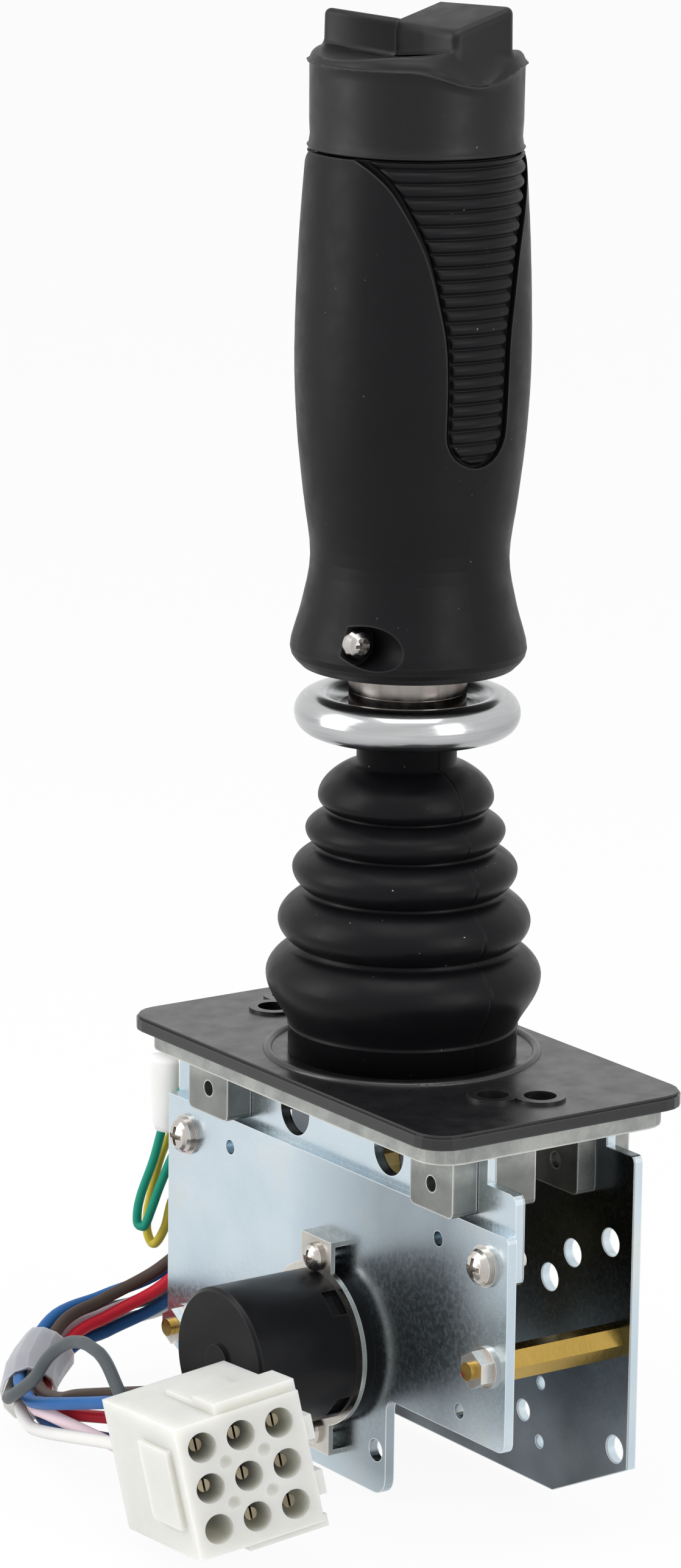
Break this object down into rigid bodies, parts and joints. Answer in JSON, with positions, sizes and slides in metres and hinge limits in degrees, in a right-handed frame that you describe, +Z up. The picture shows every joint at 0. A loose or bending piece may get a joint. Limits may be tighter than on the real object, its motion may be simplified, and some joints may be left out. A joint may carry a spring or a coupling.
{
  "type": "industrial joystick",
  "caption": "Single-axis hand lever with ribbed grip, thumb rocker, lift-to-unlock ring, rubber boot, gear-driven position sensor and plug lead.",
  "frame": {"origin": "lever axis at the top face of the gasket pad, which is the underside of the panel", "axes": "+Z up along the lever, +X the way the lever tilts and along the pad's long side, +Y the pivot axis, away from the position sensor"},
  "size_m": [0.1145, 0.0935, 0.2451],
  "materials": {
    "cast_flange": "die-cast, matt",
    "pad_rubber": "moulded",
    "boot_rubber": "moulded, semi-matt",
    "zinc_plate": "bright zinc plated",
    "pin_steel": "ground",
    "screw_steel": "nickel plated",
    "standoff_brass": "turned",
    "bush_bronze": "sintered",
    "clip_steel": "phosphated",
    "hub_casting": "die-cast",
    "tube_steel": "turned",
    "gear_brass": "hobbed",
    "sensor_steel": "ground",
    "sensor_black": "moulded, satin",
    "clamp_steel": "pressed",
    "ring_aluminium": "turned, satin",
    "grip_plastic": "moulded, satin",
    "inlay_rubber": "ribbed",
    "black_screw": "black oxide",
    "switch_plastic": "moulded",
    "cap_rubber": "moulded",
    "nylon": "natural nylon",
    "milky_tape": "wrinkled film",
    "contact_metal": "tin plated",
    "wire_blue": "PVC",
    "wire_brown": "PVC",
    "wire_red": "PVC",
    "wire_navy": "PVC",
    "wire_grey": "PVC",
    "wire_white": "PVC",
    "wire_pink": "PVC",
    "wire_green": "PVC",
    "wire_yellow": "PVC"
  },
  "bodies": {
    "base": {"mounting_flange": "cast_flange", "gasket_pad": "pad_rubber", "boot_bellows": "boot_rubber", "near_side_plate": "zinc_plate", "sensor_plate": "zinc_plate", "far_side_plate": "zinc_plate", "lug_pins": "pin_steel", "plate_screws": "screw_steel", "plate_washers": "screw_steel", "plate_nuts": "screw_steel", "standoffs": "standoff_brass", "standoff_nuts": "screw_steel", "standoff_washers": "screw_steel", "standoff_screws": "screw_steel", "pivot_bushes": "bush_bronze", "anchor_post": "pin_steel", "sensor_body": "sensor_black", "sensor_clamp": "clamp_steel", "clamp_screws": "screw_steel", "lock_gate": "cast_flange", "gate_screws": "screw_steel", "wire_clip": "nylon", "connector_housing": "nylon", "connector_pins": "contact_metal", "wire_blue": "wire_blue", "wire_brown": "wire_brown", "wire_red": "wire_red", "wire_navy": "wire_navy", "wire_grey": "wire_grey", "wire_white": "wire_white", "wire_pink": "wire_pink", "wire_green": "wire_green", "wire_yellow": "wire_yellow", "bundle_tape": "milky_tape"},
    "lever": {"lever_hub": "hub_casting", "lever_tube": "tube_steel", "sector_gear": "gear_brass", "sector_screws": "screw_steel", "drive_pin": "pin_steel", "centring_spring": "clip_steel", "lock_spring": "clip_steel", "grip_body": "grip_plastic", "grip_inlays": "inlay_rubber", "grip_screw": "black_screw", "switch_body": "switch_plastic", "rocker_pin": "pin_steel", "switch_cap": "cap_rubber", "pivot_axle": "pin_steel", "axle_clips": "clip_steel"},
    "lock": {"lock_sleeve": "tube_steel", "lock_studs": "tube_steel", "lift_ring": "ring_aluminium"},
    "rotor": {"pinion": "gear_brass", "sensor_shaft": "sensor_steel"},
    "rocker": {"thumb_rocker": "switch_plastic"}
  },
  "joints": [
    {"name": "lever_tilt", "type": "hinge", "parent": "base", "child": "lever", "pos_m": [0, 0, -0.0177], "axis": [0, 1, 0], "range_deg": [-20, 20], "stiffness_Nm_per_rad": 1.5, "deforming": ["boot_bellows", "centring_spring"]},
    {"name": "sensor_turn", "type": "hinge", "parent": "base", "child": "rotor", "pos_m": [0.0021, 0, -0.04763], "axis": [0, 1, 0], "range_deg": [-82, 82]},
    {"name": "ring_lift", "type": "slide", "parent": "lever", "child": "lock", "axis": [0, 0, 1], "range_m": [0, 0.004], "stiffness_N_per_m": 800, "springref_m": -0.005, "deforming": ["lock_spring"]},
    {"name": "rocker_tilt", "type": "hinge", "parent": "lever", "child": "rocker", "pos_m": [0, 0, 0.158], "axis": [1, 0, 0], "range_deg": [-8, 8], "stiffness_Nm_per_rad": 0.2, "deforming": ["switch_cap"]}
  ],
  "couplings": [
    {"joint": "sensor_turn", "follows": "lever_tilt", "ratio": -4}
  ]
}
